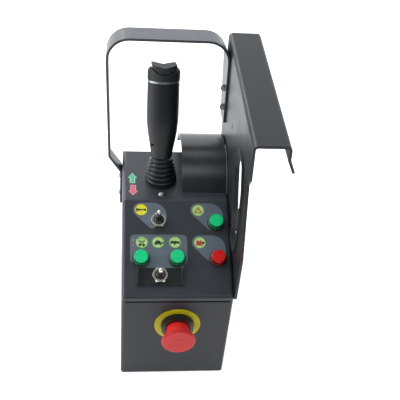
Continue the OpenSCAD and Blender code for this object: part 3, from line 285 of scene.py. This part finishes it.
looks = {
    "body_paint": painted("paint_body", (0.025, 0.0275, 0.033)),
    "lid_paint": painted("paint_lid", (0.034, 0.039, 0.047), 0.3, 0.38, gloss=0.4, painted_seam_shade=True),
    "plate_paint": painted("paint_plate", (0.021, 0.023, 0.026), 0.32, 0.42, gloss=0.26),
    "guard_paint": painted("paint_guard", (0.018, 0.0195, 0.023), 0.24, 0.32, gloss=0.8, peel=0.0,
                           speckle=0.0),
    "hoop_paint": painted("paint_hoop", (0.034, 0.037, 0.045), 0.3, 0.4, gloss=0.5),
    # Full edge rubbing on the guard plate: the light edges of its ears are partly rubbed paint and partly a
    # painted highlight along their bends
    "guard_plate_paint": painted("paint_guard_plate", (0.012, 0.014, 0.015), 0.3, 0.42, wear_and_highlight=1.0),
    "black_rubber": moulded("rubber_trim", (0.012, 0.012, 0.013), 0.5, 0.65, grain=700.0, strength=0.2),
    "zinc_steel": metal("steel_zinc", (0.42, 0.43, 0.42), 0.3, 0.42),
    "rivet_steel": painted("paint_rivet", (0.05, 0.053, 0.058), 0.36, 0.5, wear_and_highlight=0.6),
    "bright_steel": metal("steel_bright", (0.34, 0.34, 0.34), 0.28, 0.38, stretch=(1.0, 1.0, 0.15)),
    "dark_steel": metal("steel_dark", (0.1, 0.1, 0.11), 0.3, 0.42),
    "black_plastic": moulded("plastic_black", (0.018, 0.018, 0.02), 0.4, 0.52),
    "sensor_green": moulded("plastic_sensor", (0.03, 0.12, 0.09), 0.4, 0.5),
    "boot_rubber": moulded("rubber_boot", (0.006, 0.006, 0.007), 0.26, 0.38, grain=800.0),
    "grip_plastic": moulded("plastic_grip", (0.0085, 0.0095, 0.013), 0.34, 0.42, grain=1300.0, strength=0.1,
                            gloss=0.38),
    "chrome_ring": metal("chrome_ring", (0.5, 0.5, 0.51), 0.16, 0.26, stretch=(1.0, 1.0, 8.0)),
    "head_plastic": moulded("plastic_head", (0.01, 0.01, 0.011), 0.5, 0.6, grain=1300.0),
    "rocker_plastic": moulded("plastic_rocker", (0.008, 0.008, 0.009), 0.55, 0.65, grain=1200.0),
    "stop_yellow": moulded("plastic_yellow", (0.5, 0.43, 0.008), 0.36, 0.5, grain=1500.0, strength=0.1,
                           gloss=0.2),
    "collar_plastic": moulded("plastic_collar", (0.012, 0.012, 0.013), 0.24, 0.36),
    "contact_green": moulded("plastic_contacts", (0.03, 0.2, 0.08), 0.4, 0.5),
    "stop_red": stop_red(),
    "lamp_black": moulded("plastic_lamp", (0.012, 0.012, 0.013), 0.3, 0.42),
    "switch_blue": moulded("plastic_switch", (0.04, 0.1, 0.3), 0.4, 0.5),
    "chrome_nut": metal("nickel_nut", (0.86, 0.81, 0.74), 0.14, 0.24, stretch=(1.0, 1.0, 4.0)),
    "chrome_lever": metal("nickel_lever", (0.84, 0.82, 0.79), 0.06, 0.14),
    "seal_rubber": moulded("rubber_seal", (0.01, 0.009, 0.01), 0.12, 0.22, grain=500.0, strength=0.06,
                           coat=0.4),
    "board_green": moulded("board_lacquer", (0.02, 0.18, 0.08), 0.25, 0.4, grain=400.0, strength=0.2),
    "gland_plastic": moulded("plastic_gland", (0.02, 0.02, 0.022), 0.42, 0.55),
}
# Near-black, matt look for the thin seal strip under the lid's lip: made this dark so the strip also stands
# in for the shadow line there, as painted shade
shadow_strip_look = moulded("rubber_shadow_strip", (0.0012, 0.0012, 0.0014), 0.75, 0.85, grain=700.0, strength=0.1,
                     gloss=0.04)

# Lit top colour, side colour painted darker as shade, and light scatter of each colour of lamp
GREEN = ((0.0, 0.7, 0.25), (0.0, 0.1, 0.04), (0.3, 1.0, 0.5))
RED = ((0.7, 0.006, 0.005), (0.14, 0.001, 0.001), (1.0, 0.3, 0.2))
lamps = {"lamp_lift_lens": (22.2, 47.4, *GREEN), "lamp_speed_lens": (64.4, 47.4, *GREEN),
         "lamp_fault_lens": (112.3, 93.3, *GREEN), "lamp_battery_lens": (112.7, 47.4, *RED)}


def look_of(part):
    """The material of a CAD node: its own, or its slot's."""
    name = part["node"]
    if name in lamps:
        return lens(name + "_cap", *lamps[name])
    if name == "lid_seal":
        return shadow_strip_look
    return looks[part["material_slot"]]


for part in frame["record"]["subparts"]:
    obj = nodes[part["node"]]
    look = look_of(part)
    if not obj.material_slots:
        obj.data.materials.append(look)
    for slot in obj.material_slots:
        slot.material = look


# Helpers for pieces


def mesh_object(name, points, faces, look, body="console", smooth=False):
    """A piece from points in metres, put on its body if it is given one."""
    mesh = bpy.data.meshes.new(name)
    mesh.from_pydata([tuple(p) for p in points], [], faces)
    mesh.validate()
    mesh.materials.append(look)
    if smooth:
        mesh.polygons.foreach_set("use_smooth", [True] * len(mesh.polygons))
    obj = bpy.data.objects.new(name, mesh)
    bpy.context.scene.collection.objects.link(obj)
    if body:
        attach(obj, body)
    return obj


def signed_area(loop):
    """Area of a closed outline, positive where it runs anticlockwise."""
    return sum(a[0] * b[1] - b[0] * a[1] for a, b in zip(loop, loop[1:] + loop[:1])) / 2


def film(name, shapes, low, high, look, place=panel):
    """A thin printed film between two heights. Each shape is a list of loops: its outline, then its holes."""
    points, faces = [], []
    for shape in shapes:
        loops = [lp if (signed_area(lp) > 0) == (i == 0) else lp[::-1] for i, lp in enumerate(shape)]
        flat = [p for lp in loops for p in lp]
        base, count = len(points), len(flat)
        points += [place(x, y, low) for x, y in flat] + [place(x, y, high) for x, y in flat]
        for corners in tessellate_polygon([[Vector((x, y, 0)) for x, y in lp] for lp in loops]):
            if signed_area([flat[i] for i in corners]) < 0:
                corners = corners[::-1]
            faces.append([base + count + i for i in corners])
            faces.append([base + i for i in corners[::-1]])
        start = base
        for lp in loops:
            for i in range(len(lp)):
                a, b = start + i, start + (i + 1) % len(lp)
                faces.append([a, b, b + count, a + count])
            start += len(lp)
    return mesh_object(name, points, faces, look)


def tube_faces(sides, steps):
    """Faces of a closed tube with flat ends, made of rings of points, one after the other."""
    faces = []
    for here in range(0, steps * sides, sides):
        after = here + sides
        faces += [[here + j, here + (j + 1) % sides, after + (j + 1) % sides, after + j]
                  for j in range(sides)]
    return faces + [list(range(sides))[::-1], [steps * sides + j for j in range(sides)]]


def around(sides):
    """Angles of the points of a ring."""
    return [2 * math.pi * j / sides for j in range(sides)]


def arc(cx, cy, r, start, end, steps=12):
    """Points of an arc from one angle to another, in degrees."""
    angles = [math.radians(start + (end - start) * i / steps) for i in range(steps + 1)]
    return [(cx + r * math.cos(a), cy + r * math.sin(a)) for a in angles]


def disc(cx, cy, r, sides=48):
    return arc(cx, cy, r, 0, 360 - 360 / sides, sides - 1)


def stroke(path, width):
    """Outline of a line along an open path."""
    left, right = [], []
    for i, p in enumerate(path):
        before, after = Vector(path[max(i - 1, 0)]), Vector(path[min(i + 1, len(path) - 1)])
        d = (after - before).normalized()
        left.append((p[0] - d.y * width / 2, p[1] + d.x * width / 2))
        right.append((p[0] + d.y * width / 2, p[1] - d.x * width / 2))
    return left + right[::-1]


# Printing on the panel and the top

ink_panel = printed("ink_slate", (0.115, 0.145, 0.178))
ink_dark = printed("ink_dark", (0.012, 0.03, 0.014))
ink_yellow = printed("ink_yellow", (0.85, 0.77, 0.035))
ink_pale = printed("ink_pale", (0.49, 0.74, 0.27))
ink_rim = printed("ink_rim", (0.1, 0.36, 0.05))
ink_olive = printed("ink_olive", (0.2, 0.17, 0.02))
ink_orange = printed("ink_orange", (0.44, 0.17, 0.03))
ink_red = printed("ink_red", (0.6, 0.03, 0.03))
ink_green = printed("ink_green", (0.08, 0.52, 0.25))
ink_mint = printed("ink_mint", (0.45, 0.82, 0.6))
ink_rose = printed("ink_rose", (0.68, 0.13, 0.19))
ink_blush = printed("ink_blush", (0.82, 0.36, 0.4))

# Heights of the layers over the paint, in millimetres: film, rims and arrows, discs, signs
UNDER, FILM, RIM, DISC, SIGN = 0.01, 0.06, 0.1, 0.13, 0.16


def drop(small, big, control, tip):
    """Decal round a small disc, a big corner and a control, each x, s and r, with a tip at the lower left."""
    x, s, r = small
    slope = math.degrees(math.atan2(tip[1] - s, tip[0] - x))
    reach = math.hypot(tip[0] - x, tip[1] - s)
    tangent = slope - math.degrees(math.acos(min(1.0, r / reach)))
    return arc(x, s, r, 90, 360 + tangent, 16) + [tip] + arc(*control, -90, 0, 8) + arc(*big, 0, 90, 14)


def motion_decal():
    """Decal under the three motion signs: round upper corners, and a lower edge cut for the guard plate."""
    upper = arc(14.4, 73.0, 5.0, 180, 90, 6) + arc(71.9, 73.0, 5.0, 90, 0, 6)
    right_end = [(76.9, 46.5), (75.9, 43.2), (73.4, 40.4), (72.0, 38.6), (71.6, 36.4)]
    left_end = [(17.4, 36.4), (17.0, 38.4), (15.6, 40.8), (11.6, 43.6), (9.9, 45.6), (9.4, 48.0)]
    return upper + right_end + left_end


decals = {
    "horn": drop((22.5, 110.2, 9.5), (36.6, 103.2, 16.5), (43.3, 96.0, 9.8), tip=(33.2, 86.3)),
    "fault": drop((91.5, 110.0, 9.5), (105.5, 103.2, 16.3), (112.4, 93.3, 9.4), tip=(104.6, 84.3)),
    "battery": drop((92.1, 68.0, 9.5), (106.4, 61.2, 16.3), (113.3, 47.4, 9.4), tip=(103.0, 43.5)),
    "motion": motion_decal(),
}
for name, outline in decals.items():
    film("decal_" + name, [[outline]], UNDER, FILM, ink_panel)

# Middle and radius of each sign's disc on the panel, and its rim's and face's ink
DISC_RIM = 0.75
discs = {
    "horn": (22.5, 110.3, 7.9, ink_olive, ink_yellow),
    "fault": (91.4, 109.9, 7.6, ink_rim, ink_pale),
    "lift": (23.1, 68.2, 7.4, ink_rim, ink_pale),
    "slow": (42.4, 68.2, 7.4, ink_rim, ink_pale),
    "fast": (62.4, 68.3, 7.4, ink_rim, ink_pale),
    "battery": (91.9, 67.9, 7.4, ink_rim, ink_pale),
}
for name, (x, s, r, rim, face) in discs.items():
    film("disc_rim_" + name, [[disc(x, s, r)]], FILM, RIM, rim)
    film("disc_" + name, [[disc(x, s, r - DISC_RIM)]], FILM, DISC, face)

# Signs are drawn round the middle of their disc and then enlarged
SIGN_GROWTH = 1.15


def sign(name, on, shapes, ink):
    """A printed sign on the disc of that name. Each shape is a list of loops, as in film."""
    cx, cy = discs[on][:2]

    def grown(loop):
        return [(cx + SIGN_GROWTH * x, cy + SIGN_GROWTH * y) for x, y in loop]

    film("sign_" + name, [[grown(loop) for loop in shape] for shape in shapes], DISC, SIGN, ink)


def horn_sign():
    """A long horn with its bell to the right and a mouthpiece to the left."""
    upper = [(-4.4, 2.3), (-3.6, 1.2), (1.6, 0.5), (3.2, 0.9), (4.2, 1.5), (5.0, 1.3)]
    lower = [(x, -y) for x, y in upper[::-1]]
    sign("horn", "horn", [[[(-5.2, 2.3)] + upper + [(5.2, 0.0)] + lower + [(-5.2, -2.3)]]], ink_dark)


def fault_sign():
    """A warning triangle with a bar and a dot in it."""
    triangle = [[(0, 4.6), (-4.6, -3.2), (4.6, -3.2)], [(0, 2.3), (-2.4, -2.0), (2.4, -2.0)]]
    bar = [(-0.35, 1.4), (0.35, 1.4), (0.22, -0.9), (-0.22, -0.9)]
    dot = disc(0, -1.6 / SIGN_GROWTH, 0.34 / SIGN_GROWTH, 12)
    sign("fault", "fault", [triangle, [bar], [dot]], ink_orange)


def lift_sign():
    """A scissor lift: platform with a rail, crossed arms, chassis and wheels."""
    platform = stroke([(-3.4, 1.4), (3.4, 1.4)], 0.7)
    rails = [stroke(path, 0.5) for path in ([(-3.2, 1.4), (-3.2, 4.2)], [(3.2, 1.4), (3.2, 4.2)],
                                            [(-3.2, 4.0), (3.2, 4.0)])]
    arms = [stroke([(side * -2.6, 1.1), (side * 2.6, -2.0)], 0.7) for side in (1, -1)]
    chassis = [(-3.4, -2.0), (3.4, -2.0), (3.4, -3.4), (-3.4, -3.4)]
    wheels = [disc(x, -4.1, 0.8, 14) for x in (-2.0, 2.0)]
    sign("lift", "lift", [[loop] for loop in (platform, *rails, *arms, chassis, *wheels)], ink_dark)


def slow_sign():
    """A tortoise: shell, head, tail and two legs."""
    shell = arc(-0.2, -1.2, 3.4, 180, 0, 14) + [(3.4, -2.0), (-3.8, -2.0)]
    head = [(3.0, -1.4), (4.2, 0.4), (5.3, 0.5), (5.7, -0.5), (4.9, -1.2), (3.6, -2.0)]
    tail = [(-3.8, -1.2), (-5.6, -2.2), (-3.6, -2.1)]
    hind_leg = [(-2.9, -1.9), (-1.5, -1.9), (-1.8, -3.3), (-3.2, -3.3)]
    front_leg = [(1.3, -1.9), (2.7, -1.9), (3.0, -3.3), (1.6, -3.3)]
    sign("slow", "slow", [[loop] for loop in (shell, head, tail, hind_leg, front_leg)], ink_dark)


def fast_sign():
    """A running hare, heading left."""
    head_and_ears = [(-5.6, -0.4), (-5.0, 0.5), (-3.9, 0.9), (-4.4, 1.9), (-3.6, 2.0), (-2.4, 1.2)]
    back = [(-0.6, 1.6), (1.6, 1.5), (3.6, 0.7), (5.2, 1.3), (5.6, 0.7)]
    hind_legs = [(4.4, -0.3), (5.6, -1.9), (4.9, -2.4), (2.9, -1.1), (0.8, -1.5), (-0.2, -3.1), (-1.2, -3.1)]
    front_legs = [(-1.0, -1.4), (-2.8, -1.0), (-4.9, -2.3), (-5.5, -1.8), (-3.9, -0.5)]
    sign("fast", "fast", [[head_and_ears + back + hind_legs + front_legs]], ink_dark)


def battery_sign():
    """A battery with its two poles in red, and a plug with its lead."""
    case = [(-3.6, 1.8), (2.0, 1.8), (2.0, -3.2), (-3.6, -3.2)]
    poles = [[(x, 1.8), (x + 1.2, 1.8), (x + 1.2, 2.8), (x, 2.8)] for x in (-3.0, 0.2)]
    sign("battery", "battery", [[loop] for loop in (case, *poles)], ink_red)
    plug = [(2.3, 1.2), (4.2, 1.2), (5.0, 0.0), (4.2, -1.4), (2.3, -1.4)]
    lead = stroke([(3.2, -1.3), (3.2, -2.7), (1.8, -4.1)], 0.55)
    sign("plug", "battery", [[plug], [lead]], ink_dark)


horn_sign()
fault_sign()
lift_sign()
slow_sign()
fast_sign()
battery_sign()


def arrow(cx, cy, length, head, half, stem, grow=0.0, up=1):
    """Arrow round its middle: its length, its head's length, and half the head's and the stem's width.

    It is grown by an outset, and points down where up is -1.
    """
    neck = length / 2 - head - grow * 0.4
    right_side = [(stem + grow, -length / 2 - grow), (stem + grow, neck), (half + grow * 1.3, neck)]
    left_side = [(-x, y) for x, y in right_side[::-1]]
    return [(cx + x, cy + up * y) for x, y in [(0, length / 2 + grow * 1.2)] + left_side + right_side]


# Middle, length, head, half the head's width and half the stem's of the arrows beside the joystick
UP_ARROW = (12.3, 152.1, 17.8, 8.0, 4.7, 2.5)
DOWN_ARROW = (13.1, 128.9, 18.2, 8.0, 4.9, 2.7)
EDGE = 0.8
film("arrow_up_edge", [[arrow(*UP_ARROW, grow=EDGE)]], UNDER, FILM, ink_mint, top)
film("arrow_up", [[arrow(*UP_ARROW)]], UNDER, RIM, ink_green, top)
film("arrow_down_edge", [[arrow(*DOWN_ARROW, grow=EDGE, up=-1)]], UNDER, FILM, ink_blush, top)
film("arrow_down", [[arrow(*DOWN_ARROW, up=-1)]], UNDER, RIM, ink_rose, top)
film("mark_up", [[arrow(13.4, 70.9, 3.4, 1.7, 1.2, 0.5)]], FILM, RIM, ink_green)
film("mark_down", [[arrow(12.7, 65.3, 3.4, 1.7, 1.2, 0.5, up=-1)]], FILM, RIM, ink_rose)


# Pieces on the guard, the joystick and the side plate


def guard_bead():
    """The rounded right bend of the curved guard: a thin tube painted much lighter than the guard, a painted
    highlight for the fine bright line along the bend.
    """
    axis_y, axis_z = BODY_D - GUARD_BACK, TOP_Z + GUARD_RISE - GUARD_R
    reach, x, r = GUARD_R + 0.3, BODY_W - 1.1, 0.8
    first, last, steps, sides = 24, 86, 40, 10
    points = []
    for i in range(steps + 1):
        a = math.radians(first + (last - first) * i / steps)
        for w in around(sides):
            k = reach + r * math.cos(w)
            points.append(at(x + r * math.sin(w), axis_y - k * math.cos(a), axis_z + k * math.sin(a)))
    # Painted highlight: the bend's paint is far lighter than the guard's
    look = painted("paint_bend_highlight", (0.11, 0.118, 0.13), 0.2, 0.3, gloss=0.6)
    mesh_object("guard_bend", points, tube_faces(sides, steps), look, smooth=True)


def bellows():
    """Rubber bellows: rounded ribs with tight valleys, which tilt step by step from the base to the grip."""
    ribs, steps_per_rib, inner_steps, sides = 6, 14, 12, 72
    low, high = 2.5 / math.cos(LEAN), 29.0
    wide, neck, rib, wall = 20.0, 13.6, 1.9, 1.2
    steps = ribs * steps_per_rib

    def mean(t):
        """Middle radius of the ribs, from the base at 0 to the grip at 1."""
        return wide - rib - (wide - rib - neck) * t ** 1.15

    def ring(t, r):
        """A ring of radius r, square to the stick at the grip and level at the base."""
        s, a = low + (high - low) * t, LEAN * min(1.0, t * 1.15)
        return [at(STICK_X + r * math.cos(w), STICK_Y + s * math.sin(LEAN) + r * math.sin(w) * math.cos(a),
                   TOP_Z + s * math.cos(LEAN) - r * math.sin(w) * math.sin(a)) for w in around(sides)]

    rings = []
    for i in range(steps + 1):
        t = i / steps
        wave = abs(math.sin(math.pi * ribs * t)) ** 0.62 * 2 - 1
        if i in (0, steps):
            wave = -0.5
        rings.append(ring(t, mean(t) + rib * (1 - 0.45 * t) * wave))
    rings += [ring(i / inner_steps, mean(i / inner_steps) - rib - wall) for i in range(inner_steps, -1, -1)]
    count = len(rings)
    faces = []
    for i in range(count):
        here, after = i * sides, (i + 1) % count * sides
        faces += [[here + (j + 1) % sides, after + (j + 1) % sides, after + j, here + j]
                  for j in range(sides)]
    points = [p for r in rings for p in r]
    look = looks["boot_rubber"]
    boot = mesh_object("joystick_bellows", points, faces, look, None, smooth=True)
    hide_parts("joystick_boot")
    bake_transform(boot)


def trim_sleeve():
    """Rubber sleeve over the joint of the hand slot's trim, on the slot's front edge."""
    sides, steps, low, high = 20, 14, 219.5, 247.0
    half_wide, half_deep, squareness = 4.7, 2.7, 0.6
    lean_from, lean = 219.0, 7.7 / 47.0
    points = []
    for i in range(steps + 1):
        z = low + (high - low) * i / steps
        full = min(1.0, 0.72 + 0.28 * math.sin(math.pi * i / steps) * 2.2)
        edge_y = SLOT_FRONT + lean * (z - lean_from)
        for w in around(sides):
            east = math.copysign(abs(math.cos(w)) ** squareness, math.cos(w))
            back = math.copysign(abs(math.sin(w)) ** squareness, math.sin(w))
            points.append(at(BODY_W + half_wide * full * east, edge_y + half_deep * full * back, z))
    look = looks["black_rubber"]
    mesh_object("trim_sleeve", points, tube_faces(sides, steps), look, smooth=True)


def grip_hole():
    """The dark recess over the grip's screw: a short near-black plug that stands just proud of the grip,
    painted shade in place of the recess.
    """
    middle, out = Vector((-0.02952, 0.05378, 0.24234)), Vector((-0.796, -0.561, 0.227)).normalized()
    r, sunk, proud, sides = 0.0024, 0.001, 0.00015, 28
    east = out.orthogonal().normalized()
    north = out.cross(east)
    points = [middle + out * h + (east * math.cos(w) + north * math.sin(w)) * r
              for h in (-sunk, proud) for w in around(sides)]
    # Painted shade: the plug's near-black stands in for the shade inside the recess
    look = moulded("plastic_hole_shade", (0.0015, 0.0015, 0.0018), 0.6, 0.7, gloss=0.1)
    mesh_object("grip_hole", points, tube_faces(sides, 1), look, "joystick")


def plate_slits():
    """Two small slits on the inner face of the side plate, drawn as near-black films: painted shade where the
    openings are.
    """
    # Painted shade: near-black film stands in for the shade inside each slit
    look = printed("ink_slit_shade", (0.003, 0.003, 0.004), 0.5, 0.6)
    half_wide = 2.6
    for name, y, z, half_tall in (("rear", 152.7, 274.9, 3.25), ("front", 34.0, 293.9, 2.25)):
        corners = [(-1, -1), (1, -1), (1, 1), (-1, 1)]
        outline = [(-y + i * half_wide, z + j * half_tall) for i, j in corners]
        film("plate_slit_" + name, [[outline]], UNDER, RIM, look, plate)


guard_bead()
bellows()
trim_sleeve()
grip_hole()
plate_slits()

# Stage, light and camera


def stage_floor():
    """A pale floor just under the part, bright enough to fade into the white backdrop."""
    half, under = 6.0, -0.0006
    n = Net("stage_floor")
    tone = n.noise(3.0, detail=3.0)
    base = n.mix(tone, (0.8, 0.8, 0.805), (0.84, 0.84, 0.84))
    n.set(Base_Color=base, Roughness=n.remap(tone, 0.2, 0.8, 0.6, 0.75), Emission_Color=(1.0, 1.0, 1.0, 1.0),
          Emission_Strength=0.7)
    mesh = bpy.data.meshes.new("stage_floor")
    corners = [(-half, -half, under), (half, -half, under), (half, half, under), (-half, half, under)]
    mesh.from_pydata(corners, [], [(0, 1, 2, 3)])
    mesh.materials.append(n.mat)
    obj = bpy.data.objects.new("stage_floor", mesh)
    bpy.context.scene.collection.objects.link(obj)


class Sky(Net):
    """A studio round the part: bright walls behind and beside it, dark overhead, one strip light in front."""

    # Brightness by direction: 0 is level in front, 0.5 is overhead and 1 is level behind
    STOPS = ((0.0, 0.16), (0.1, 0.07), (0.27, 0.08), (0.325, 0.85), (0.375, 0.8), (0.44, 0.12), (0.53, 0.12),
             (0.575, 0.78), (0.66, 0.9), (0.8, 0.82))
    TINT = (0.93, 0.97, 1.0, 1.0)
    ARCH_STRENGTH, SIDE_STRENGTH, LEFT, RIGHT = 1.95, 0.62, 1.3, 0.7

    def __init__(self, name):
        world = bpy.data.worlds.new(name)
        world.use_nodes = True
        self.tree = world.node_tree
        back = self.tree.nodes["Background"]
        way = self.add("ShaderNodeTexCoord").outputs["Generated"]
        x, y, z = self.add("ShaderNodeSeparateXYZ", {0: way}).outputs
        turn = self.math("DIVIDE", self.math("ARCTAN2", z, self.math("MULTIPLY", y, -1.0)), math.pi)
        ramp = self.add("ShaderNodeValToRGB", {"Fac": turn})
        steps = ramp.color_ramp.elements
        while len(steps) < len(self.STOPS):
            steps.new(0.5)
        for step, (place, grey) in zip(steps, self.STOPS):
            step.position, step.color = place, (grey, grey, grey, 1.0)
        side = self.remap(self.math("ABSOLUTE", x), 0.55, 0.95)
        arch = self.math("MULTIPLY", ramp.outputs[0], self.ARCH_STRENGTH)
        arch = self.math("MULTIPLY", arch, self.math("SUBTRACT", 1.0, side))
        light = self.math("ADD", arch, self.math("MULTIPLY", side, self.SIDE_STRENGTH))
        light = self.math("MULTIPLY", light, self.remap(x, -1.0, 1.0, self.LEFT, self.RIGHT))
        self.put(back.inputs[0], self.TINT)
        self.put(back.inputs[1], light)
        bpy.context.scene.world = world


def softbox(name, place, target, size, power):
    """A rectangular lamp at a place, turned to a target, in metres and watts."""
    light = bpy.data.lights.new(name, "AREA")
    light.shape, light.size, light.size_y, light.energy = "RECTANGLE", size[0], size[1], power
    obj = bpy.data.objects.new(name, light)
    obj.location = place
    obj.rotation_mode = "QUATERNION"
    obj.rotation_quaternion = (Vector(target) - Vector(place)).to_track_quat("-Z", "Y")
    bpy.context.scene.collection.objects.link(obj)


def photo_camera():
    """The camera. Its place, turn to the right, look down, roll and lens were fitted to the photograph."""
    place = (-0.06861, -0.65875, 0.77792)
    yaw, pitch, roll = math.radians(8.38), math.radians(40.96), math.radians(6.08)
    ahead = Vector((math.sin(yaw) * math.cos(pitch), math.cos(yaw) * math.cos(pitch), -math.sin(pitch)))
    level = Vector((math.cos(yaw), -math.sin(yaw), 0))
    rise = level.cross(ahead)
    right = math.cos(roll) * level + math.sin(roll) * rise
    up = math.cos(roll) * rise - math.sin(roll) * level
    camera = bpy.data.cameras.new("camera")
    camera.lens, camera.sensor_width, camera.sensor_fit = 65.5, 36.0, "HORIZONTAL"
    camera.clip_start, camera.clip_end = 0.05, 50.0
    obj = bpy.data.objects.new("camera", camera)
    rows = [(right[i], up[i], -ahead[i], place[i]) for i in range(3)]
    obj.matrix_world = Matrix((*rows, (0, 0, 0, 1)))
    bpy.context.scene.collection.objects.link(obj)
    bpy.context.scene.camera = obj


stage_floor()
Sky("studio")
softbox("key", (-1.3, 0.1, 1.0), (0, 0, 0.2), (0.9, 0.9), 9.0)
softbox("rear", (-0.7, 1.5, 1.1), (0, 0.1, 0.2), (0.9, 0.7), 9.0)
photo_camera()
bpy.context.scene.view_settings.view_transform = "Standard"
